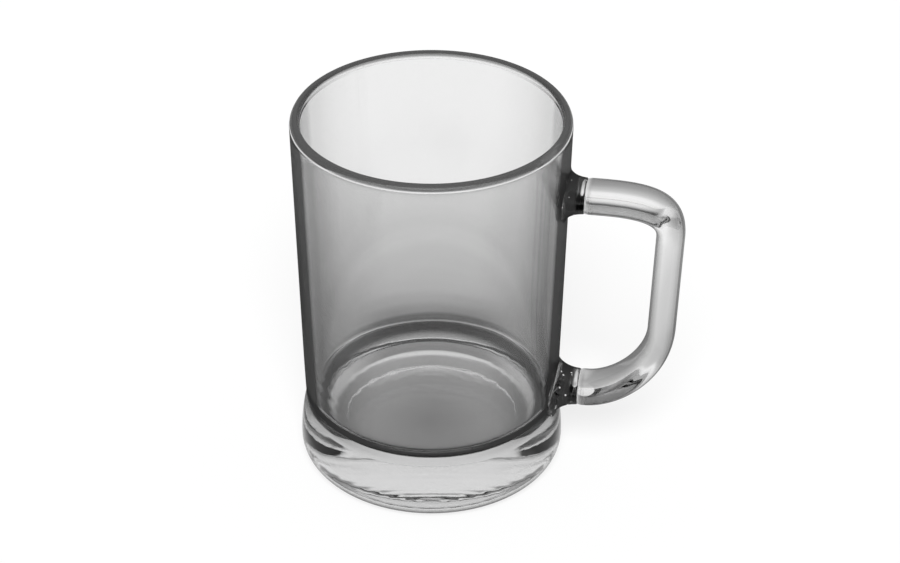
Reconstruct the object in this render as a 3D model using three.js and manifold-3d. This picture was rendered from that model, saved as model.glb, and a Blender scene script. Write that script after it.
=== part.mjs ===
// Half-litre glass beer mug with an applied handle. Millimetres, +Z up, handle along +X.
// The origin is on the table, under the middle of the mug's overall box.
import * as THREE from "three";
import { mergeVertices } from "three/addons/utils/BufferGeometryUtils.js";
import Module from "manifold-3d";

// Body: lip, wall and neck
const rimRadius = 45;
const mugHeight = 129.2;
const wallThickness = 3.3; // under the lip
const wallThickening = 0.5; // how much thicker the wall is at the floor
const lipHeight = 3.2;
const lipCrest = 2.2; // from the outside of the wall in to the top of the lip
const wallTaper = 2.5; // how much less the wall's radius is at the neck
const coveDepth = 0.2; // how far the neck draws in from the straight wall
const coveHeight = 25;
const neckHeight = 22.5;

// Body: foot, underside and floor
const footFlare = 2; // from the neck out to the widest part of the foot
const footBulgeHeight = 7.3;
const footRound = 8.3; // from the widest part of the foot in to the ring that it stands on
const bearingWidth = 5;
const recessDepth = 1.4;
const recessTurn = 3; // how far inside its edge the recess turns down to the ring
const floorHeight = 20.4;
const filletWidth = 11.7; // of the rounded corner between the floor and the wall
const filletHeight = 8.6;

// Handle: an oval rod that leaves one seam level, sweeps into the grip and sweeps back to the other
const rodThickness = 9.2;
const rodWidth = 15.4;
const rodSquareness = 2.4; // 2 is an ellipse, more is squarer
const upperArmDrop = 25.5; // from the top of the lip to the centre of the upper arm
const upperRun = 5;
const upperSweep = 16;
const gripReach = 27.6; // from the seams to the top of the grip
const gripTopDrop = 12.7; // from the upper arm to the top of the grip
const gripTopSweep = 10;
const gripLean = THREE.MathUtils.degToRad(1.9); // the grip leans in towards its foot
const gripFootRise = 26.7; // from the lower arm to the foot of the grip
const gripFootSweep = 15.4;
const lowerArmRise = 6.7; // from the neck to the centre of the lower arm
const lowerRun = 2.1;
const lowerSweep = 10.4;

// Seals: flared collars between the wall and the two seams
const sealLength = 5; // from the rim's outside to the plane of the seams
const upperFlare = 3;
const lowerFlare = 4.6;
const flareLand = 0.6; // thickness of a collar's edge at the wall
const sealGap = 0.3; // between a collar and the wall

// Facets
const bodySegments = 72;
const curveSteps = 4;
const rodSides = 28;
const rodSteps = 50;
const flareSteps = 7;

const wallTopHeight = mugHeight - lipHeight;
const neckWallRadius = rimRadius - wallTaper;
const neckRadius = neckWallRadius - coveDepth;
const footRadius = neckRadius + footFlare;
const bearingRadius = footRadius - footRound;
const recessRadius = bearingRadius - bearingWidth;
const seamReach = rimRadius + sealLength;
const upperArmHeight = mugHeight - upperArmDrop;
const lowerArmHeight = neckHeight + lowerArmRise;

const wasm = await Module();
wasm.setup();

// A closed geometry as a solid that can be cut
function solidOf(geometry) {
  const bare = geometry.clone();
  bare.deleteAttribute("normal");
  bare.deleteAttribute("uv");
  const merged = mergeVertices(bare, 1e-4);
  return new wasm.Manifold(
    new wasm.Mesh({
      numProp: 3,
      vertProperties: new Float32Array(merged.attributes.position.array),
      triVerts: new Uint32Array(merged.index.array),
    }),
  );
}

function geometryOf(solid) {
  const mesh = solid.getMesh();
  return new THREE.BufferGeometry()
    .setAttribute("position", new THREE.BufferAttribute(mesh.vertProperties, 3))
    .setIndex(new THREE.BufferAttribute(mesh.triVerts, 1));
}

// Outside radius of the straight wall at a height, without the neck's cove
function wallRadius(height) {
  return THREE.MathUtils.mapLinear(height, neckHeight, wallTopHeight, neckWallRadius, rimRadius);
}

// Inside radius of the straight wall at a height
function insideRadius(height) {
  const thickness = THREE.MathUtils.mapLinear(height, wallTopHeight, floorHeight, 0, wallThickening);
  return wallRadius(height) - wallThickness - thickness;
}

// Adds the outside of the body to a half section: foot, neck, cove and wall, grown outwards
function traceOutside(section, grow) {
  const coveTop = neckHeight + coveHeight;
  const coveMiddle = neckHeight + coveHeight / 3;
  section.lineTo(bearingRadius, -grow);
  section.absellipse(bearingRadius, footBulgeHeight, footRound + grow, footBulgeHeight + grow, -Math.PI / 2, 0);
  section.quadraticCurveTo(
    footRadius + grow, (footBulgeHeight + neckHeight) / 2,
    neckRadius + grow, neckHeight,
  );
  section.quadraticCurveTo(
    wallRadius(coveMiddle) + grow, coveMiddle,
    wallRadius(coveTop) + grow, coveTop,
  );
  section.lineTo(rimRadius + grow, wallTopHeight);
}

function revolve(section) {
  return new THREE.LatheGeometry(section.getPoints(curveSteps), bodySegments).rotateX(Math.PI / 2);
}

// The body: underside, outside, lip, inside and floor, from axis to axis
function bodyGeometry() {
  const crestRadius = rimRadius - lipCrest;
  const lipInside = wallThickness - lipCrest;
  const filletTop = floorHeight + filletHeight;
  const flatRadius = insideRadius(filletTop) - filletWidth;
  const section = new THREE.Path();
  section.moveTo(0, recessDepth);
  section.quadraticCurveTo(recessRadius - recessTurn, recessDepth, recessRadius, 0);
  traceOutside(section, 0);
  section.absellipse(crestRadius, wallTopHeight, lipCrest, lipHeight, 0, Math.PI / 2);
  section.absellipse(crestRadius, wallTopHeight, lipInside, lipHeight, Math.PI / 2, Math.PI);
  section.absellipse(flatRadius, filletTop, filletWidth, filletHeight, 0, -Math.PI / 2, true);
  section.lineTo(0, floorHeight);
  return revolve(section);
}

// All that the body's outside encloses, with a gap added round it
function bodyEnvelope(gap) {
  const section = new THREE.Path();
  section.moveTo(0, -gap);
  traceOutside(section, gap);
  section.lineTo(0, wallTopHeight);
  return revolve(section);
}

// The rod's oval: x is its thickness, in the plane of the handle, and y its width
function rodSection() {
  const power = 2 / rodSquareness;
  const rounded = (value) => Math.sign(value) * Math.abs(value) ** power;
  const points = [];
  for (let side = 0; side < rodSides; side++) {
    const angle = (2 * Math.PI * side) / rodSides;
    const across = (rodThickness / 2) * rounded(Math.cos(angle));
    const along = (rodWidth / 2) * rounded(Math.sin(angle));
    points.push(new THREE.Vector2(across, along));
  }
  return new THREE.Shape(points);
}

// A flat path of reach and height as a curve in the upright plane through the mug's axis
class UprightCurve extends THREE.Curve {
  constructor(path) {
    super();
    this.path = path;
  }

  getPoint(share, target = new THREE.Vector3()) {
    const point = this.path.getPointAt(share);
    return target.set(point.x, 0, point.y);
  }
}

// The handle's centre line, from the upper seam out, down the grip and back to the lower seam
function bowPath() {
  const gripTop = new THREE.Vector2(gripReach, upperArmHeight - gripTopDrop);
  const down = new THREE.Vector2(-Math.sin(gripLean), -Math.cos(gripLean));
  const gripFootHeight = lowerArmHeight + gripFootRise;
  const gripLength = (gripTop.y - gripFootHeight) / Math.cos(gripLean);
  const gripFoot = gripTop.clone().addScaledVector(down, gripLength);
  const topControl = gripTop.clone().addScaledVector(down, -gripTopSweep);
  const footControl = gripFoot.clone().addScaledVector(down, gripFootSweep);
  const path = new THREE.Path();
  path.moveTo(0, upperArmHeight);
  path.lineTo(upperRun, upperArmHeight);
  path.bezierCurveTo(
    upperRun + upperSweep, upperArmHeight,
    topControl.x, topControl.y,
    gripTop.x, gripTop.y,
  );
  path.lineTo(gripFoot.x, gripFoot.y);
  path.bezierCurveTo(
    footControl.x, footControl.y,
    lowerRun + lowerSweep, lowerArmHeight,
    lowerRun, lowerArmHeight,
  );
  path.lineTo(0, lowerArmHeight);
  return path;
}

function handleGeometry() {
  return new THREE.ExtrudeGeometry(rodSection(), {
    steps: rodSteps,
    extrudePath: new UprightCurve(bowPath()),
  });
}

// A collar: the rod's oval drawn in from the seam, flared to hug the wall and cut to the body's outside
function sealGeometry(armHeight, flare) {
  const geometry = new THREE.ExtrudeGeometry(rodSection(), {
    steps: flareSteps + 1,
    depth: flareSteps + 1,
    bevelEnabled: false,
  });
  const position = geometry.attributes.position;
  for (let i = 0; i < position.count; i++) {
    const step = Math.round(position.getZ(i));
    const turn = (Math.PI / 2) * Math.min(1, step / flareSteps);
    const grow = flare * (1 - Math.cos(turn));
    const height = armHeight + position.getX(i) * (1 + grow / (rodThickness / 2));
    const side = position.getY(i) * (1 + grow / (rodWidth / 2));
    const wallReach = Math.sqrt(wallRadius(height) ** 2 - side ** 2);
    const run = (seamReach - wallReach - sealGap - flareLand) * Math.sin(turn);
    const plunge = step > flareSteps ? flareLand + wallThickness : 0;
    position.setXYZ(i, seamReach - run - plunge, side, height);
  }
  return geometryOf(solidOf(geometry).subtract(solidOf(bodyEnvelope(sealGap))));
}

function glassPiece(name, geometry) {
  const glass = new THREE.MeshStandardMaterial({
    color: 0xeef2f2,
    roughness: 0.04,
    metalness: 0,
    transparent: true,
    opacity: 0.35,
  });
  const piece = new THREE.Mesh(geometry, glass);
  piece.name = name;
  return piece;
}

const body = glassPiece("body", bodyGeometry());
const handle = glassPiece("handle", handleGeometry());
handle.position.x = seamReach;
const upperSeal = glassPiece("upper_seal", sealGeometry(upperArmHeight, upperFlare));
const lowerSeal = glassPiece("lower_seal", sealGeometry(lowerArmHeight, lowerFlare));

// The pieces stand round the mug's axis, and the whole is moved to stand over the middle of its box
const onAxis = new THREE.Group();
onAxis.add(body, handle, upperSeal, lowerSeal);
onAxis.position.x = -new THREE.Box3().setFromObject(onAxis).getCenter(new THREE.Vector3()).x;

const mug = new THREE.Group();
mug.add(onAxis);

export default mug;
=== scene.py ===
import math

import bmesh
import bpy
from mathutils import Matrix, Vector, noise
from mathutils.geometry import interpolate_bezier


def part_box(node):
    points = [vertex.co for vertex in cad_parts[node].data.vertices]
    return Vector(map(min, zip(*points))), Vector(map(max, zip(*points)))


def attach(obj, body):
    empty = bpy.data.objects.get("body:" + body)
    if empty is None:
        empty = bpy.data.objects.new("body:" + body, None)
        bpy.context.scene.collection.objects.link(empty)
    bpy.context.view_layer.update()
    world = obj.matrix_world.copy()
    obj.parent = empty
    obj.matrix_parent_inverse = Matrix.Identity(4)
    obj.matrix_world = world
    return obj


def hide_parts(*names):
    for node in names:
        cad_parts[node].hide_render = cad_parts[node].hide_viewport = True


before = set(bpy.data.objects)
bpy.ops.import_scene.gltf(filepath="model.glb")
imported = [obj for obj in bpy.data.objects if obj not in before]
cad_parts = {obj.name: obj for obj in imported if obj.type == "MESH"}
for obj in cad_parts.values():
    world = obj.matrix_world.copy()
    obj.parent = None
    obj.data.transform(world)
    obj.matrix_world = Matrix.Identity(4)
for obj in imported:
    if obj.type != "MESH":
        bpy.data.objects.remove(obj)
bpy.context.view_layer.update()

mm = 0.001

# The frame's own boxes give the mug's axis, rim, height and seam plane
bodyLow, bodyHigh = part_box("body")
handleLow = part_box("handle")[0]
axisX = (bodyLow.x + bodyHigh.x) / 2
rimRadius = (bodyHigh.y - bodyLow.y) / 2 / mm
mugHeight = bodyHigh.z / mm
seamReach = (handleLow.x - axisX) / mm

# Shapes are drawn in millimetres round the mug's axis and then carried into the frame
toFrame = Matrix.Translation((axisX, 0, 0)) @ Matrix.Scale(mm, 4)

# Each piece with the record's slot that it takes its finish from
pieceSlots = {
    "body": "body_glass",
    "upper_seal": "seal_glass",
    "handle": "handle_glass",
    "lower_seal": "seal_glass",
}
faceNumbers = {name: number for number, name in enumerate([*pieceSlots, "inside"])}  # while all is one mesh
finishNumbers = {"outside": 0, "joint": 1, "inside": 2}  # the finishes on each piece


def metres(lengths):
    return [length * mm for length in lengths]


def grey(level):
    return (level, level, level, 1)


def newObject(name, data):
    added = bpy.data.objects.new(name, data)
    bpy.context.scene.collection.objects.link(added)
    return added


def meshFrom(bm, name):
    mesh = bpy.data.meshes.new(name)
    bm.to_mesh(mesh)
    bm.free()
    return mesh


mugBody = {
    "wallThickness": 3.3,        # under the lip
    "wallThickening": 0.5,       # how much thicker the wall is at the floor
    "lipHeight": 3.2,
    "lipCrest": 2.2,             # from the outside in to the top of the lip
    "wallTaper": 2.5,            # how much less the wall's radius is at the neck
    "coveDepth": 0.2,            # how far the neck draws in from the straight wall
    "coveHeight": 25.0,
    "neckHeight": 22.5,
    "footFlare": 2.0,            # from the neck out to the widest part of the foot
    "footBulgeHeight": 7.3,
    "footRound": 8.3,            # from there in to the ring that it stands on
    "bearingWidth": 5.0,
    "recessDepth": 1.4,
    "recessTurn": 3.0,           # how far inside its edge the recess turns down
    "floorHeight": 20.4,
    "filletWidth": 11.7,         # of the rounded corner between the floor and the wall
    "filletHeight": 8.6,
    "waveDepth": 0.05,           # unevenness left by the plunger inside the mug
    "waveTurns": 2.2,
    "waveRise": 0.02,
    "waveFade": 12.0,            # how far under the lip it is full
    "ladderDepth": 0.03,         # ripples across the lower wall, where the glass chilled on the mould
    "ladderStep": 4.6,
    "ladderFoot": (24.0, 34.0),  # heights between which the ripples grow
    "ladderTop": (66.0, 46.0),   # heights between which they die away, from none to full
    "ladderTilt": 0.35,          # how far they climb round the mug, in steps
    "ladderTurn": 0.6,           # where they climb, in radians
    "ladderStray": 0.5,          # how far they stray from that, in steps
    "ladderMean": 0.6,           # their usual strength, and how much it varies
    "ladderVaries": 0.8,
    "strayTurns": 1.7,
    "strayLength": 14.0,
    "ringDepth": 0.012,          # tooling rings on the floor
    "ringStep": 3.1,
    "ringFade": 4.0,             # how far inside the floor's edge they are full
    "segments": 288,
}

# Points in each run of the body's section
sectionSteps = {
    "recess": 40, "bearing": 6, "foot": 16, "neck": 16, "cove": 16, "wall": 40,
    "lipOutside": 14, "lipInside": 10, "inside": 64, "fillet": 40, "floor": 56,
}

neckWallRadius = rimRadius - mugBody["wallTaper"]
neckRadius = neckWallRadius - mugBody["coveDepth"]
footRadius = neckRadius + mugBody["footFlare"]
bearingRadius = footRadius - mugBody["footRound"]
recessRadius = bearingRadius - mugBody["bearingWidth"]
wallTop = mugHeight - mugBody["lipHeight"]


def wallRadius(height):
    share = (height - mugBody["neckHeight"]) / (wallTop - mugBody["neckHeight"])
    return neckWallRadius + mugBody["wallTaper"] * share


def insideRadius(height):
    share = (wallTop - height) / (wallTop - mugBody["floorHeight"])
    return wallRadius(height) - mugBody["wallThickness"] - mugBody["wallThickening"] * share


# Runs of an outline, each without its first point so that they chain
def straight(a, b, steps):
    a, b = Vector(a), Vector(b)
    return [a.lerp(b, i / steps) for i in range(1, steps + 1)]


def bend(a, control, b, steps):
    a, control, b = Vector(a), Vector(control), Vector(b)
    shares = [i / steps for i in range(1, steps + 1)]
    return [a.lerp(control, t).lerp(control.lerp(b, t), t) for t in shares]


def arc(centre, radii, start, end, steps):
    angles = [math.radians(start + (end - start) * i / steps) for i in range(1, steps + 1)]
    return [Vector((centre[0] + radii[0] * math.cos(angle), centre[1] + radii[1] * math.sin(angle)))
            for angle in angles]


# Half section of the body from the axis under the base, round the lip, to the axis on the floor
def bodySection():
    b, steps = mugBody, sectionSteps
    coveTop = b["neckHeight"] + b["coveHeight"]
    coveMiddle = b["neckHeight"] + b["coveHeight"] / 3
    filletTop = b["floorHeight"] + b["filletHeight"]
    flatRadius = insideRadius(filletTop) - b["filletWidth"]
    turn = (recessRadius - b["recessTurn"], b["recessDepth"])
    bulge = (bearingRadius, b["footBulgeHeight"])
    shoulder = (footRadius, (b["footBulgeHeight"] + b["neckHeight"]) / 2)
    neck = (neckRadius, b["neckHeight"])
    cove = (wallRadius(coveTop), coveTop)
    crest = (rimRadius - b["lipCrest"], wallTop)
    lipInside = (b["wallThickness"] - b["lipCrest"], b["lipHeight"])

    outline = [Vector((0, b["recessDepth"]))]
    outline += bend(outline[-1], turn, (recessRadius, 0), steps["recess"])
    outline += straight(outline[-1], (bearingRadius, 0), steps["bearing"])
    outline += arc(bulge, (b["footRound"], b["footBulgeHeight"]), -90, 0, steps["foot"])
    outline += bend(outline[-1], shoulder, neck, steps["neck"])
    outline += bend(neck, (wallRadius(coveMiddle), coveMiddle), cove, steps["cove"])
    outline += straight(cove, (rimRadius, wallTop), steps["wall"])
    outline += arc(crest, (b["lipCrest"], b["lipHeight"]), 0, 90, steps["lipOutside"])
    outline += arc(crest, lipInside, 90, 180, steps["lipInside"])
    insideStart = len(outline)
    outline += straight(outline[-1], (insideRadius(filletTop), filletTop), steps["inside"])
    outline += arc((flatRadius, filletTop), (b["filletWidth"], b["filletHeight"]), 0, -90, steps["fillet"])
    floorStart = len(outline) - 1
    outline += straight(outline[-1], (0, b["floorHeight"]), steps["floor"])
    return outline, insideStart, floorStart


def fadeBetween(value, start, end):
    share = min(1, max(0, (value - start) / (end - start)))
    return share * share * (3 - 2 * share)


# How far the inside departs from its section: slow waves that end at the lip, and ripples low on the wall
def wave(angle, height):
    b = mugBody
    around = Vector((math.cos(angle), math.sin(angle), 0))
    place = around * b["waveTurns"]
    place.z = height * b["waveRise"]
    slow = b["waveDepth"] * fadeBetween(height, wallTop, wallTop - b["waveFade"]) * noise.noise(place)
    place = around * b["strayTurns"]
    place.z = height / b["strayLength"]
    stray = noise.noise(place)
    climb = b["ladderTilt"] * math.sin(angle + b["ladderTurn"])
    ripple = math.sin(2 * math.pi * (height / b["ladderStep"] + climb + b["ladderStray"] * stray))
    band = fadeBetween(height, *b["ladderTop"]) * fadeBetween(height, *b["ladderFoot"])
    return slow + b["ladderDepth"] * band * (b["ladderMean"] + b["ladderVaries"] * stray) * ripple


# Height of the rings that the plunger's turned face left on the floor
def toolRing(radius, edge):
    b = mugBody
    band = fadeBetween(radius, edge, edge - b["ringFade"])
    return b["ringDepth"] * band * math.sin(2 * math.pi * radius / b["ringStep"])


nearAxis = 1e-6  # a radius below this is a point on the axis


# The section turned round the axis, with its inside numbered apart
def makeBody():
    outline, insideStart, floorStart = bodySection()
    floorEdge = outline[floorStart].x
    count = mugBody["segments"]
    bm = bmesh.new()
    rings = []
    for index, point in enumerate(outline):
        height = point.y
        if index > floorStart:
            height += toolRing(point.x, floorEdge)
        if point.x < nearAxis:
            rings.append([bm.verts.new((0, 0, height))])
            continue
        ring = []
        for k in range(count):
            angle = 2 * math.pi * k / count
            radius = point.x
            if insideStart <= index < floorStart:
                radius += wave(angle, height)
            ring.append(bm.verts.new((radius * math.cos(angle), radius * math.sin(angle), height)))
        rings.append(ring)
    for index, (low, high) in enumerate(zip(rings, rings[1:])):
        number = faceNumbers["inside" if index >= insideStart - 1 else "body"]
        for k in range(count):
            following = (k + 1) % count
            corners = [low[k % len(low)], low[following % len(low)],
                       high[following % len(high)], high[k % len(high)]]
            bm.faces.new(list(dict.fromkeys(corners))).material_index = number
    bmesh.ops.recalc_face_normals(bm, faces=bm.faces)
    return meshFrom(bm, "body")


mugHandle = {
    "rodThickness": 9.2,
    "rodWidth": 15.4,
    "rodSquareness": 2.4,   # 2 is an ellipse, more is squarer
    "upperArmDrop": 25.5,   # from the top of the lip to the centre of the upper arm
    "upperRun": 5.0,
    "upperSweep": 16.0,
    "gripReach": 27.6,      # from the seams to the top of the grip
    "gripTopDrop": 12.7,    # from the upper arm to the top of the grip
    "gripTopSweep": 10.0,
    "gripLean": 1.9,        # degrees
    "gripFootRise": 26.7,   # from the lower arm to the foot of the grip
    "gripFootSweep": 15.4,
    "lowerArmRise": 6.7,    # from the neck to the centre of the lower arm
    "lowerRun": 2.1,
    "lowerSweep": 10.4,
    "sides": 64,
    "curvePoints": 200,     # in each bend of the centre line
    "ringStep": 0.8,
    "seamStep": 0.12,       # between the rings next to a seam
    "seamRings": 18,
}

upperArmHeight = mugHeight - mugHandle["upperArmDrop"]
lowerArmHeight = mugBody["neckHeight"] + mugHandle["lowerArmRise"]


# The rod's oval: first across its thickness, then along its width
def rodOval():
    h = mugHandle
    power = 2 / h["rodSquareness"]
    points = []
    for k in range(h["sides"]):
        angle = 2 * math.pi * k / h["sides"]
        c, s = math.cos(angle), math.sin(angle)
        across = math.copysign(abs(c) ** power, c) * h["rodThickness"] / 2
        along = math.copysign(abs(s) ** power, s) * h["rodWidth"] / 2
        points.append((across, along))
    return points


# Centre line of the handle in reach from the seams and height
def bowLine():
    h = mugHandle
    lean = math.radians(h["gripLean"])
    down = Vector((-math.sin(lean), -math.cos(lean)))
    gripTop = Vector((h["gripReach"], upperArmHeight - h["gripTopDrop"]))
    gripFootHeight = lowerArmHeight + h["gripFootRise"]
    gripFoot = gripTop + down * ((gripTop.y - gripFootHeight) / math.cos(lean))
    upperEnd = Vector((h["upperRun"], upperArmHeight))
    lowerEnd = Vector((h["lowerRun"], lowerArmHeight))
    upperControls = upperEnd + Vector((h["upperSweep"], 0)), gripTop - down * h["gripTopSweep"]
    lowerControls = gripFoot + down * h["gripFootSweep"], lowerEnd + Vector((h["lowerSweep"], 0))
    line = [Vector((0, upperArmHeight))]
    line += interpolate_bezier(upperEnd, *upperControls, gripTop, h["curvePoints"])
    line += interpolate_bezier(gripFoot, *lowerControls, lowerEnd, h["curvePoints"])
    line.append(Vector((0, lowerArmHeight)))
    return [Vector((point.x, point.y)) for point in line]


# Points along a line at the given distances, with the line's direction there
def alongLine(line, distances):
    found = []
    run, index = 0.0, 0
    length = (line[1] - line[0]).length
    for distance in distances:
        while distance > run + length and index < len(line) - 2:
            run += length
            index += 1
            length = (line[index + 1] - line[index]).length
        a, b = line[index], line[index + 1]
        found.append((a + (b - a) * ((distance - run) / length), (b - a).normalized()))
    return found


# Distances along the handle, closer together at the two seams
def handleSteps(length):
    h = mugHandle
    fine = [h["seamStep"] * i for i in range(h["seamRings"])]
    plain = length - 2 * fine[-1]
    count = math.ceil(plain / h["ringStep"])
    middle = [fine[-1] + plain * i / count for i in range(1, count)]
    return fine + middle + [length - distance for distance in reversed(fine)]


mugSeals = {
    "upperFlare": 3.0,
    "lowerFlare": 4.6,
    "edgeStep": 0.12,       # height of the fused edge on the wall
    "plunge": 1.4,          # how far a collar sinks into the wall before they are fused
    "flareRings": 24,
    "seamDip": 0.22,        # ring pressed into the glass where the handle was joined
    "seamWidth": 0.7,
}


def seamShrink(distance):
    s = mugSeals
    return s["seamDip"] * math.exp(-((distance / s["seamWidth"]) ** 2))


# Rings of a collar from inside the wall out to the seam
def sealRings(armHeight, flare):
    s, h = mugSeals, mugHandle
    rings = []
    for step in range(s["flareRings"], -1, -1):
        turn = math.pi / 2 * step / s["flareRings"]
        grow = flare * (1 - math.cos(turn))
        ring = []
        for across, along in rodOval():
            height = armHeight + across * (1 + grow / (h["rodThickness"] / 2))
            side = along * (1 + grow / (h["rodWidth"] / 2))
            wallReach = math.sqrt(wallRadius(height) ** 2 - side ** 2)
            run = (seamReach - wallReach - s["edgeStep"]) * math.sin(turn)
            ring.append(Vector((seamReach - run, side, height)))
        rings.append(ring)
    sunk = [point - Vector((s["edgeStep"] + s["plunge"], 0, 0)) for point in rings[0]]
    return [sunk] + rings


# Rings of the handle from the upper seam to the lower one, drawn in a little at both
def handleRings():
    h = mugHandle
    line = bowLine()
    length = sum((b - a).length for a, b in zip(line, line[1:]))
    steps = handleSteps(length)
    oval = rodOval()
    rings = []
    for distance, (point, direction) in zip(steps, alongLine(line, steps)):
        shrink = seamShrink(distance) + seamShrink(length - distance)
        outward = Vector((-direction.y, direction.x))
        ring = []
        for across, along in oval:
            across *= 1 - shrink / (h["rodThickness"] / 2)
            along *= 1 - shrink / (h["rodWidth"] / 2)
            place = point + outward * across
            ring.append(Vector((seamReach + place.x, along, place.y)))
        rings.append(ring)
    return rings


# One unbroken rod from wall to wall, with the numbers of its three pieces
def makeArm():
    # At a seam the handle's own ring takes the place of the collar's
    upper = sealRings(upperArmHeight, mugSeals["upperFlare"])[:-1]
    handle = handleRings()
    # The rod comes back the other way up, so the lower collar's rings are turned over
    lower = [[Vector((point.x, point.y, 2 * lowerArmHeight - point.z)) for point in ring]
             for ring in reversed(sealRings(lowerArmHeight, mugSeals["lowerFlare"])[:-1])]
    numbers = ([faceNumbers["upper_seal"]] * len(upper) + [faceNumbers["handle"]] * (len(handle) - 1)
               + [faceNumbers["lower_seal"]] * len(lower))

    bm = bmesh.new()
    verts = [[bm.verts.new(point) for point in ring] for ring in upper + handle + lower]
    count = mugHandle["sides"]
    for number, a, b in zip(numbers, verts, verts[1:]):
        for k in range(count):
            following = (k + 1) % count
            bm.faces.new((a[k], a[following], b[following], b[k])).material_index = number
    bm.faces.new(verts[0]).material_index = numbers[0]
    bm.faces.new(list(reversed(verts[-1]))).material_index = numbers[-1]
    bmesh.ops.recalc_face_normals(bm, faces=bm.faces)
    return meshFrom(bm, "arm")


# The body and the arm fused into one mesh, and the names that its faces' numbers stand for
def fuseGlass(markers):
    whole = newObject("whole", makeBody())
    arm = newObject("arm", makeArm())
    for part in (whole, arm):
        for marker in markers:
            part.data.materials.append(marker)
    weld = whole.modifiers.new("weld", "BOOLEAN")
    weld.operation = "UNION"
    weld.solver = "EXACT"
    weld.object = arm
    weld.material_mode = "TRANSFER"
    shape = whole.evaluated_get(bpy.context.evaluated_depsgraph_get())
    fused = bpy.data.meshes.new_from_object(shape)
    names = [slot.name for slot in shape.material_slots]
    for part in (whole, arm):
        bpy.data.objects.remove(part)
    return fused, names


# One piece of the fused glass, closed again where it was joined to the others
def cutPiece(name, fused, names):
    outside = names.index("number_" + name)
    inside = names.index("number_inside") if name == "body" else outside
    bm = bmesh.new()
    bm.from_mesh(fused)
    others = [face for face in bm.faces if face.material_index not in (outside, inside)]
    bmesh.ops.delete(bm, geom=others, context="FACES")
    for face in bm.faces:
        face.material_index = finishNumbers["outside" if face.material_index == outside else "inside"]
        face.smooth = True
    edges = [edge for edge in bm.edges if edge.is_boundary]
    for edge in edges:
        edge.smooth = False
    caps = bmesh.ops.holes_fill(bm, edges=edges, sides=0)["faces"]
    for cap in caps:
        cap.material_index = finishNumbers["joint"]
        cap.smooth = False
    bmesh.ops.triangulate(bm, faces=caps)
    bmesh.ops.recalc_face_normals(bm, faces=bm.faces)
    bm.transform(toFrame)
    return newObject(name + "_glass", meshFrom(bm, name + "_glass"))


def makePieces():
    markers = [bpy.data.materials.new("number_" + name) for name in faceNumbers]
    fused, names = fuseGlass(markers)
    pieces = {name: cutPiece(name, fused, names) for name in pieceSlots}
    for marker in markers:
        bpy.data.materials.remove(marker)
    return pieces


# A socket whose arithmetic adds Math nodes
class Wire:
    def __init__(self, board, output):
        self.board = board
        self.output = output

    def maths(self, operation, first, second):
        return self.board.node("Math", {"operation": operation}, {0: first, 1: second})

    def __add__(self, other):
        return self.maths("ADD", self, other)

    def __sub__(self, other):
        return self.maths("SUBTRACT", self, other)

    def __mul__(self, other):
        return self.maths("MULTIPLY", self, other)

    def __rsub__(self, other):
        return self.maths("SUBTRACT", other, self)

    __radd__ = __add__
    __rmul__ = __mul__


# A node tree to which nodes are added by type, settings and sockets
class Board:
    def __init__(self, tree):
        self.tree = tree
        tree.nodes.clear()

    def node(self, kind, settings=None, sockets=None, output=0):
        added = self.tree.nodes.new("ShaderNode" + kind)
        for key, value in (settings or {}).items():
            if key == "stops":
                self.setStops(added.color_ramp, value)
            else:
                setattr(added, key, value)
        for key, value in (sockets or {}).items():
            if isinstance(value, Wire):
                self.tree.links.new(value.output, added.inputs[key])
            else:
                added.inputs[key].default_value = value
        return Wire(self, added.outputs[output]) if added.outputs else None

    def setStops(self, ramp, stops):
        while len(ramp.elements) < len(stops):
            ramp.elements.new(0.5)
        for element, (place, level) in zip(ramp.elements, stops):
            element.position = place
            element.color = grey(level)

    def mix(self, share, first, second):
        return self.node("Mix", {"data_type": "RGBA"}, {0: share, 6: first, 7: second}, 2)

    def vector(self, operation, first, second=(0, 0, 0), output="Vector"):
        return self.node("VectorMath", {"operation": operation}, {0: first, 1: second}, output)

    def ramp(self, value, low, high, atLow=0.0, atHigh=1.0):
        return self.node("MapRange", {"interpolation_type": "SMOOTHSTEP"}, {
            "Value": value, "From Min": low, "From Max": high, "To Min": atLow, "To Max": atHigh})

    # Fades in from low, is full between the middle two and fades out to high
    def band(self, value, low, lowFull, highFull, high):
        return self.ramp(value, low, lowFull) * self.ramp(value, highFull, high, 1.0, 0.0)


def newMaterial(name):
    material = bpy.data.materials.new(name)
    material.use_nodes = True
    return material, Board(material.node_tree)


glassFinish = {
    "clear": grey(0.86),
    "hazy": grey(0.83),         # where fingers and washing have left a film
    "refraction": 1.52,
    "polish": 0.0,              # roughness of clean glass
    "film": 0.012,              # and how much rougher it is under the film
    "filmSize": 22.0,           # patches to a metre
    "filmDetail": 5.0,
    "filmEdge": (0.52, 0.72),
    "striaeSize": 130.0,        # drawn lines to a metre
    "striaeStretch": 0.12,      # less draws them out further up and down
    "striaeDetail": 3.0,
    "striaeDepth": 0.000015,    # metres
    "paintedShade": grey(0.03),         # paint of the veil that darkens edges: painted shade
    "paintedHighlight": grey(0.85),       # and of the one that lights the lip, seams and bubbles: painted highlights
    "veilRoughness": 0.6,
    # painted shade on the edges: how far glass turns from the eye where it starts to darken and where it is
    # darkest, and by how much
    "edges": ((0.20, 0.34, 0.13), (0.28, 0.62, 0.40), (0.63, 0.70, 0.40)),
}
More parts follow.
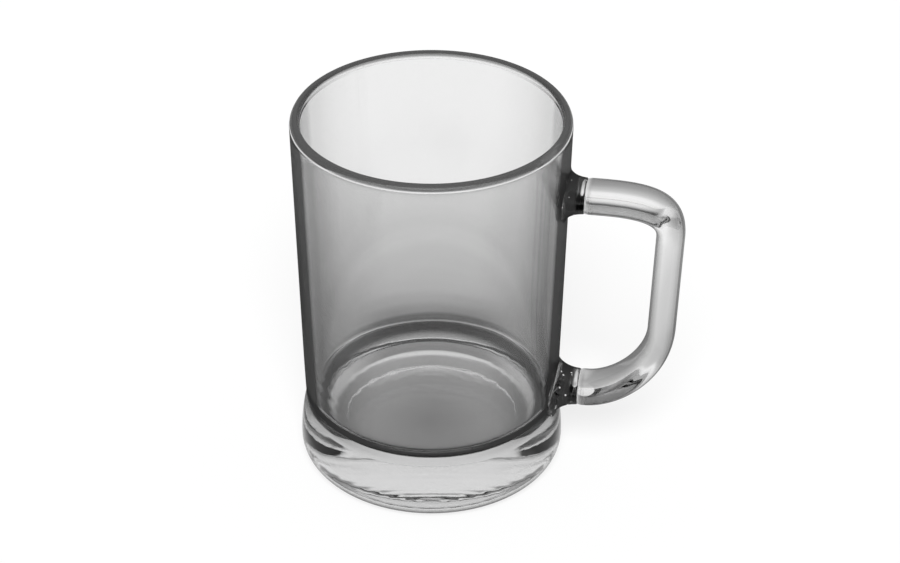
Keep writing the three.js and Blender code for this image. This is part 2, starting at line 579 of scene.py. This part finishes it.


# Clear glass with drawn lines and patches of film, under a veil of painted shade and painted highlights
# that the piece's finish puts on its edges, lip, seams and bubbles
def glassMaterial(name, finish, clean=glassFinish["clear"], filmed=glassFinish["hazy"]):
    g = glassFinish
    material, board = newMaterial(name)
    place = board.node("TexCoord", output="Object")
    patches = board.node("TexNoise", sockets={
        "Vector": place, "Scale": g["filmSize"], "Detail": g["filmDetail"]})
    film = board.ramp(patches, *g["filmEdge"])
    stretched = board.vector("MULTIPLY", place, (1, 1, g["striaeStretch"]))
    lines = board.node("TexNoise", sockets={
        "Vector": stretched, "Scale": g["striaeSize"], "Detail": g["striaeDetail"]})
    drawn = board.node("Bump", sockets={"Strength": 1.0, "Distance": g["striaeDepth"], "Height": lines})
    # painted shade: the glass darkens as it turns from the eye
    facing = board.node("LayerWeight", sockets={"Blend": 0.5}, output="Facing")
    edge = 0.0
    for start, full, darkness in g["edges"]:
        edge = edge + board.ramp(facing, start, full) * darkness
    share, paint, colour = finish(board, place, edge, board.mix(film, clean, filmed))
    clear = board.node("BsdfPrincipled", sockets={
        "Base Color": colour, "Roughness": g["polish"] + film * g["film"], "IOR": g["refraction"],
        "Transmission Weight": 1.0, "Normal": drawn})
    # the veil: a dull paint of painted shade or painted highlight
    veil = board.node("BsdfPrincipled", sockets={
        "Base Color": paint, "Roughness": g["veilRoughness"], "Specular IOR Level": 0.0})
    mixed = board.node("MixShader", sockets={0: share, 1: clear, 2: veil})
    board.node("OutputMaterial", sockets={"Surface": mixed})
    return material


bodyFinish = {
    "lip": grey(0.72),                     # painted shade: the lip's glass is tinted darker, as the lip draws its light from far down the wall
    # painted shade: the even grey over the lip
    "lipGrey": grey(0.11),
    "lipShare": 0.62,                      # how much of the lip is that even grey of painted shade
    "lipStart": (1.3, 1.9),                # heights over the wall between which that painted shade comes in
    "lipLine": (0.5, 1.1, 1.7),            # painted highlight along the lip: its start, middle and end over the wall
    "lipLineShare": 0.5,
    "footShare": 0.15,                     # share of the painted edge shade that the foot has
    "footTop": (-6.0, 4.0),                # heights over the neck between which they grow to full
    "soleShare": 0.5,                      # more painted shade where the foot turns under
    "soleTop": (3.0, 7.5),                 # heights between which that ends
    "insideShare": 0.35,                   # share of the painted edge shade inside the mug
    "corner": (21.6, 23.4, 24.8, 26.4),    # heights of the painted shade in the corner round the floor
    "cornerShare": 0.85,
    "neckShade": (25.8, 26.8, 28.2, 29.6),  # heights of the line of painted shade at the foot of the wall
    "neckShadeShare": 0.85,
}


def heightOf(board, place):
    return board.node("SeparateXYZ", sockets={0: place}, output="Z")


# On the lip an even grey of painted shade takes over from the painted edge shade, and the glass is tinted
# darker as painted shade
def withLip(board, height, edge, colour):
    b = bodyFinish
    lip = board.ramp(height, *metres(wallTop + rise for rise in b["lipStart"]))
    share = edge * (1 - lip) + lip * b["lipShare"]
    return share, board.mix(lip, glassFinish["paintedShade"], b["lipGrey"]), board.mix(lip, colour, b["lip"])


# Painted shade on the edges, full on the wall and faint on the foot, a painted highlight along the lip and
# a line of painted shade over the neck.
# That line of shade and the sole are dark only from outside.
def bodyEdges(board, place, edge, colour):
    b = bodyFinish
    height = heightOf(board, place)
    outside = 1 - board.node("NewGeometry", output="Backfacing")
    footTop = metres(mugBody["neckHeight"] + rise for rise in b["footTop"])
    foot = board.ramp(height, *footTop, b["footShare"], 1.0)
    sole = board.ramp(height, *metres(b["soleTop"]), b["soleShare"], 0.0)
    # painted shade: a dark line over the neck, seen from outside
    neck = board.band(height, *metres(b["neckShade"])) * outside * b["neckShadeShare"]
    share, paint, colour = withLip(board, height, edge * (foot + sole * outside) + neck, colour)
    # painted highlight: a bright band along the lip
    low, middle, high = metres(wallTop + rise for rise in b["lipLine"])
    line = board.band(height, low, middle, middle, high)
    paintedHighlight = line * b["lipLineShare"]
    return share * (1 - paintedHighlight) + paintedHighlight, board.mix(line, paint, glassFinish["paintedHighlight"]), colour


# Faint painted shade on the edges, and painted shade in the corner round the floor, which sees only the
# dark ring that the mug stands on
def insideEdges(board, place, edge, colour):
    b = bodyFinish
    height = heightOf(board, place)
    # painted shade in the corner round the floor
    corner = board.band(height, *metres(b["corner"])) * b["cornerShare"]
    return withLip(board, height, edge * b["insideShare"] + corner, colour)


handleFinish = {
    # painted light: the handle's glass, clean and filmed, is tinted lighter than the same glass in the body
    "grip": grey(0.90),
    "gripHazy": grey(0.84),
    "edgeShare": 0.75,          # share of the painted edge shade that the rod has
    "seamHighlightShare": 0.3,           # how bright the painted highlight on the seams is
    "seamWidth": 1.9,
}


# Distance out from the plane of the seams
def pastSeam(board, place):
    return board.node("SeparateXYZ", sockets={0: place}, output="X") - (axisX + seamReach * mm)


# Painted shade on the edges that gives way to a painted highlight at the seams
def handleEdges(board, place, edge, colour):
    h = handleFinish
    # painted highlight at the seams
    seam = board.ramp(pastSeam(board, place), 0.0, h["seamWidth"] * mm, 1.0, 0.0)
    share = edge * h["edgeShare"] * (1 - seam) + seam * h["seamHighlightShare"]
    return share, board.mix(seam, glassFinish["paintedShade"], glassFinish["paintedHighlight"]), colour


sealFinish = {
    "throat": (-6.6, -5.4, -3.4, -2.0),  # between the flare on the wall and the clear glass at the seam
    "throatShade": grey(0.06),            # painted shade: little light finds its way through it
    "throatShadeShare": 0.7,
    "seedSize": 420.0,                   # bubbles to a metre
    # edge of the painted glint on each bubble
    "bubbleGlintEdge": (0.10, 0.17),
}


# Collars with painted shade in the throat and a few bubbles with painted glints that catch the light
def sealEdges(board, place, edge, colour):
    s = sealFinish
    throat = board.band(pastSeam(board, place), *metres(s["throat"]))
    nearest = board.node("TexVoronoi", sockets={"Vector": place, "Scale": s["seedSize"]}, output="Distance")
    # painted glints on the bubbles
    bubbleGlints = board.ramp(nearest, *s["bubbleGlintEdge"], 1.0, 0.0)
    paint = board.mix(bubbleGlints, glassFinish["paintedShade"], glassFinish["paintedHighlight"])
    return edge + throat * s["throatShadeShare"], paint, board.mix(throat, colour, s["throatShade"])


# Inside the fused joints nothing shows, so these faces let light straight through
def jointMaterial():
    material, board = newMaterial("fused_joint")
    surface = board.node("BsdfPrincipled", sockets={"Base Color": grey(1.0), "Alpha": 0.0})
    board.node("OutputMaterial", sockets={"Surface": surface})
    return material


pieces = makePieces()
print("fused the glass and cut it into", len(pieces), "pieces")

joint = jointMaterial()
inside = glassMaterial("inside_glass", insideEdges)
finishes = {
    "body_glass": glassMaterial("body_glass", bodyEdges),
    "handle_glass": glassMaterial(
        "handle_glass", handleEdges, handleFinish["grip"], handleFinish["gripHazy"]),
    "seal_glass": glassMaterial("seal_glass", sealEdges),
}
for name, piece in pieces.items():
    for finish in (finishes[pieceSlots[name]], joint, inside):  # in the order of finishNumbers
        piece.data.materials.append(finish)
    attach(piece, "root")
    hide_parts(name)
    print("made", piece.name, len(piece.data.polygons), "faces")

photoCamera = {
    "lens": 100.0,
    "sensorWidth": 36.0,
    "azimuth": 8.5,             # degrees
    "elevation": 33.158,
    "roll": 0.187,
    "distance": 824.06,         # from the point that it looks at, in millimetres
    "aimRight": 6.081,          # that point, to the right of the mug's axis and over the table
    "aimHeight": 66.084,
    "clipStart": 10.0,
}


# The camera's right, up and back in the frame, or those of a camera lifted by some degrees
def cameraAxes(lift=0.0):
    azimuth = math.radians(photoCamera["azimuth"])
    elevation = math.radians(photoCamera["elevation"] + lift)
    level = math.cos(elevation)
    back = Vector((math.sin(azimuth) * level, -math.cos(azimuth) * level, math.sin(elevation)))
    right = Vector((math.cos(azimuth), math.sin(azimuth), 0))
    return right, back.cross(right), back


def makeCamera():
    c = photoCamera
    right, up, back = cameraAxes()
    aim = Vector((axisX, 0, c["aimHeight"] * mm)) + right * c["aimRight"] * mm
    cos, sin = math.cos(math.radians(c["roll"])), math.sin(math.radians(c["roll"]))
    data = bpy.data.cameras.new("camera")
    data.lens = c["lens"]
    data.sensor_width = c["sensorWidth"]
    data.clip_start = c["clipStart"] * mm
    camera = newObject("camera", data)
    rolled = Matrix((right * cos + up * sin, up * cos - right * sin, back))
    camera.matrix_world = rolled.transposed().to_4x4()
    camera.location = aim + back * c["distance"] * mm
    bpy.context.scene.camera = camera


studioFloor = {
    "colour": grey(0.93),
    "half": 4.0,                # metres
    "drop": 0.2,                # under the ring that the mug stands on
    "glow": 0.8,                # share of the floor's white that shadows leave alone
    # levels of painted shadow, with bright painted rings, that the glass sees, by distance from the mug's
    # axis in millimetres
    "roundShadeStops": (
        (0, 0.22), (12, 0.16), (35, 0.14), (38, 0.3), (41, 0.97), (50, 0.97), (60, 0.45), (90, 0.5),
        (116, 0.66), (140, 0.72), (190, 1.0), (240, 1.0)),
    # the same painted shadow in the strip that the mug hides from the camera
    "behindShadeStops": (
        (0, 0.2), (10, 0.26), (28, 0.42), (37.2, 0.5), (38.4, 1.0), (39.8, 1.0), (41, 0.3), (46, 0.3),
        (49, 0.8), (53, 0.8), (62, 0.12), (72, 0.17), (82, 0.29), (90, 0.47), (98, 0.61), (116, 0.7),
        (170, 0.88), (220, 1.0), (240, 1.0)),
    "behindHalf": (16.0, 46.0),     # half the strip's breadth, where it starts to fade and where it ends
    "behindStart": (-28.0, -2.0),   # from the mug's axis, where the strip starts and where it is full
    # past the foot the painted shadow in the strip is white to light that has crossed no more than two
    # faces of the glass
    "openReach": (44.0, 48.0),
    "openDepth": (2.0, 3.0),
    # painted shade: in front the floor grows dark between these distances, for light that the glass mirrors
    # before it has crossed more than one face
    "frontReach": (66.0, 150.0),
    "frontDepth": (1.0, 2.0),
    "frontShade": 0.03,
}


# The rays that see the white background: the camera's own, and those that glass sends on
def backgroundRays(board):
    kinds = ("Is Camera Ray", "Is Glossy Ray", "Is Transmission Ray")
    direct, mirrored, through = [board.node("LightPath", output=kind) for kind in kinds]
    return board.node("Math", {"operation": "MINIMUM"}, {0: direct + mirrored + through, 1: 1.0})


# Levels by distance, from stops in millimetres
def levelsAt(board, reach, stops):
    furthest = stops[-1][0]
    shares = [(stop / furthest, level) for stop, level in stops]
    return board.node("ValToRGB", {"stops": shares}, {0: reach * (1 / (furthest * mm))})


# What the glass sees of the floor: painted shadow and bright painted rings round and behind the mug
def floorShadeInGlass(board):
    f = studioFloor
    right = cameraAxes()[0]
    away = board.vector("SUBTRACT", board.node("TexCoord", output="Object"), (axisX, 0, 0))
    reach = board.vector("LENGTH", away, output="Value")
    across = board.vector("DOT_PRODUCT", away, right, "Value")
    beyond = board.vector("DOT_PRODUCT", away, (-right.y, right.x, 0), "Value")
    breadth = board.node("Math", {"operation": "ABSOLUTE"}, {0: across})
    crossed = board.node("LightPath", output="Transmission Depth")
    mirrored = board.ramp(board.node("LightPath", output="Glossy Depth"), 0.0, 1.0)

    strip = board.ramp(breadth, *metres(f["behindHalf"]), 1.0, 0.0)
    behind = strip * board.ramp(beyond, *metres(f["behindStart"]))
    opened = board.ramp(reach, *metres(f["openReach"])) * board.ramp(crossed, *f["openDepth"], 1.0, 0.0)
    near, far = metres(f["frontReach"])
    front = board.ramp(beyond, -far, -near, 1.0, 0.0) * mirrored
    front = front * board.ramp(crossed, *f["frontDepth"], 1.0, 0.0)

    # painted shadow levels round the mug and in the strip behind it
    around, hidden = [levelsAt(board, reach, f[stops]) for stops in ("roundShadeStops", "behindShadeStops")]
    level = board.mix(behind, around, hidden)
    level = board.mix(behind * opened, level, grey(1.0))
    return board.mix(front, level, grey(f["frontShade"]))


def makeFloor():
    f = studioFloor
    bm = bmesh.new()
    signs = ((-1, -1), (1, -1), (1, 1), (-1, 1))
    bm.faces.new([bm.verts.new((x * f["half"], y * f["half"], -f["drop"] * mm)) for x, y in signs])
    floor = newObject("floor", meshFrom(bm, "floor"))
    material, board = newMaterial("floor")
    direct = board.node("LightPath", output="Is Camera Ray")
    seen = board.mix(direct, floorShadeInGlass(board), grey(1.0))
    plain = board.node("BsdfDiffuse", sockets={"Color": f["colour"]})
    white = board.node("Emission", sockets={"Color": seen, "Strength": 1.0})
    share = backgroundRays(board) - direct * (1 - f["glow"])
    surface = board.node("MixShader", sockets={0: share, 1: plain, 2: white})
    board.node("OutputMaterial", sockets={"Surface": surface})
    floor.data.materials.append(material)


studioRoom = {
    # levels behind the mug, by the upward part of the direction
    "backStops": ((0, 0.4), (0.17, 0.45), (0.42, 0.75), (0.6, 0.75), (0.85, 0.85), (0.95, 1.0)),
    # the same in front of it and at its sides, where the room is dark overhead
    "frontStops": ((0, 0.85), (0.25, 0.6), (0.5, 0.18), (0.7, 0.05), (1, 0.08)),
    "backEdge": (0.05, 0.3),    # part of the direction along +Y at which the front gives way to the back
    "fill": 0.25,               # level of the light that the room casts
}


def makeRoom():
    r = studioRoom
    world = bpy.data.worlds.new("studio")
    world.use_nodes = True
    bpy.context.scene.world = world
    board = Board(world.node_tree)
    direction = board.node("TexCoord", output="Generated")
    along = board.node("SeparateXYZ", sockets={0: direction}, output="Y")
    upward = board.node("SeparateXYZ", sockets={0: direction}, output="Z")
    front = board.node("ValToRGB", {"stops": r["frontStops"]}, {0: upward})
    back = board.node("ValToRGB", {"stops": r["backStops"]}, {0: upward})
    seen = board.mix(board.ramp(along, *r["backEdge"]), front, back)
    level = board.mix(backgroundRays(board), grey(r["fill"]), seen)
    light = board.node("Background", sockets={"Color": level, "Strength": 1.0})
    board.node("OutputWorld", sockets={"Surface": light})


keyLight = {
    "level": 1.2,
    "angle": 24.0,              # degrees across
    "lift": 14.0,               # degrees above the camera
}


def makeKey():
    data = bpy.data.lights.new("key", "SUN")
    data.energy = math.pi * keyLight["level"]
    data.angle = math.radians(keyLight["angle"])
    key = newObject("key", data)
    key.visible_glossy = False
    key.visible_transmission = False
    key.rotation_mode = "QUATERNION"
    key.rotation_quaternion = cameraAxes(keyLight["lift"])[2].to_track_quat("Z", "Y")


makeFloor()
makeRoom()
makeCamera()
makeKey()
print("stage set")

# How often light may bounce, enough for all the faces of the glass
bounceLimits = {
    "max_bounces": 24,
    "transmission_bounces": 24,
    "glossy_bounces": 16,
    "transparent_max_bounces": 16,
}

scene = bpy.context.scene
scene.view_settings.view_transform = "Standard"
scene.cycles.caustics_refractive = False
for limit, count in bounceLimits.items():
    setattr(scene.cycles, limit, count)
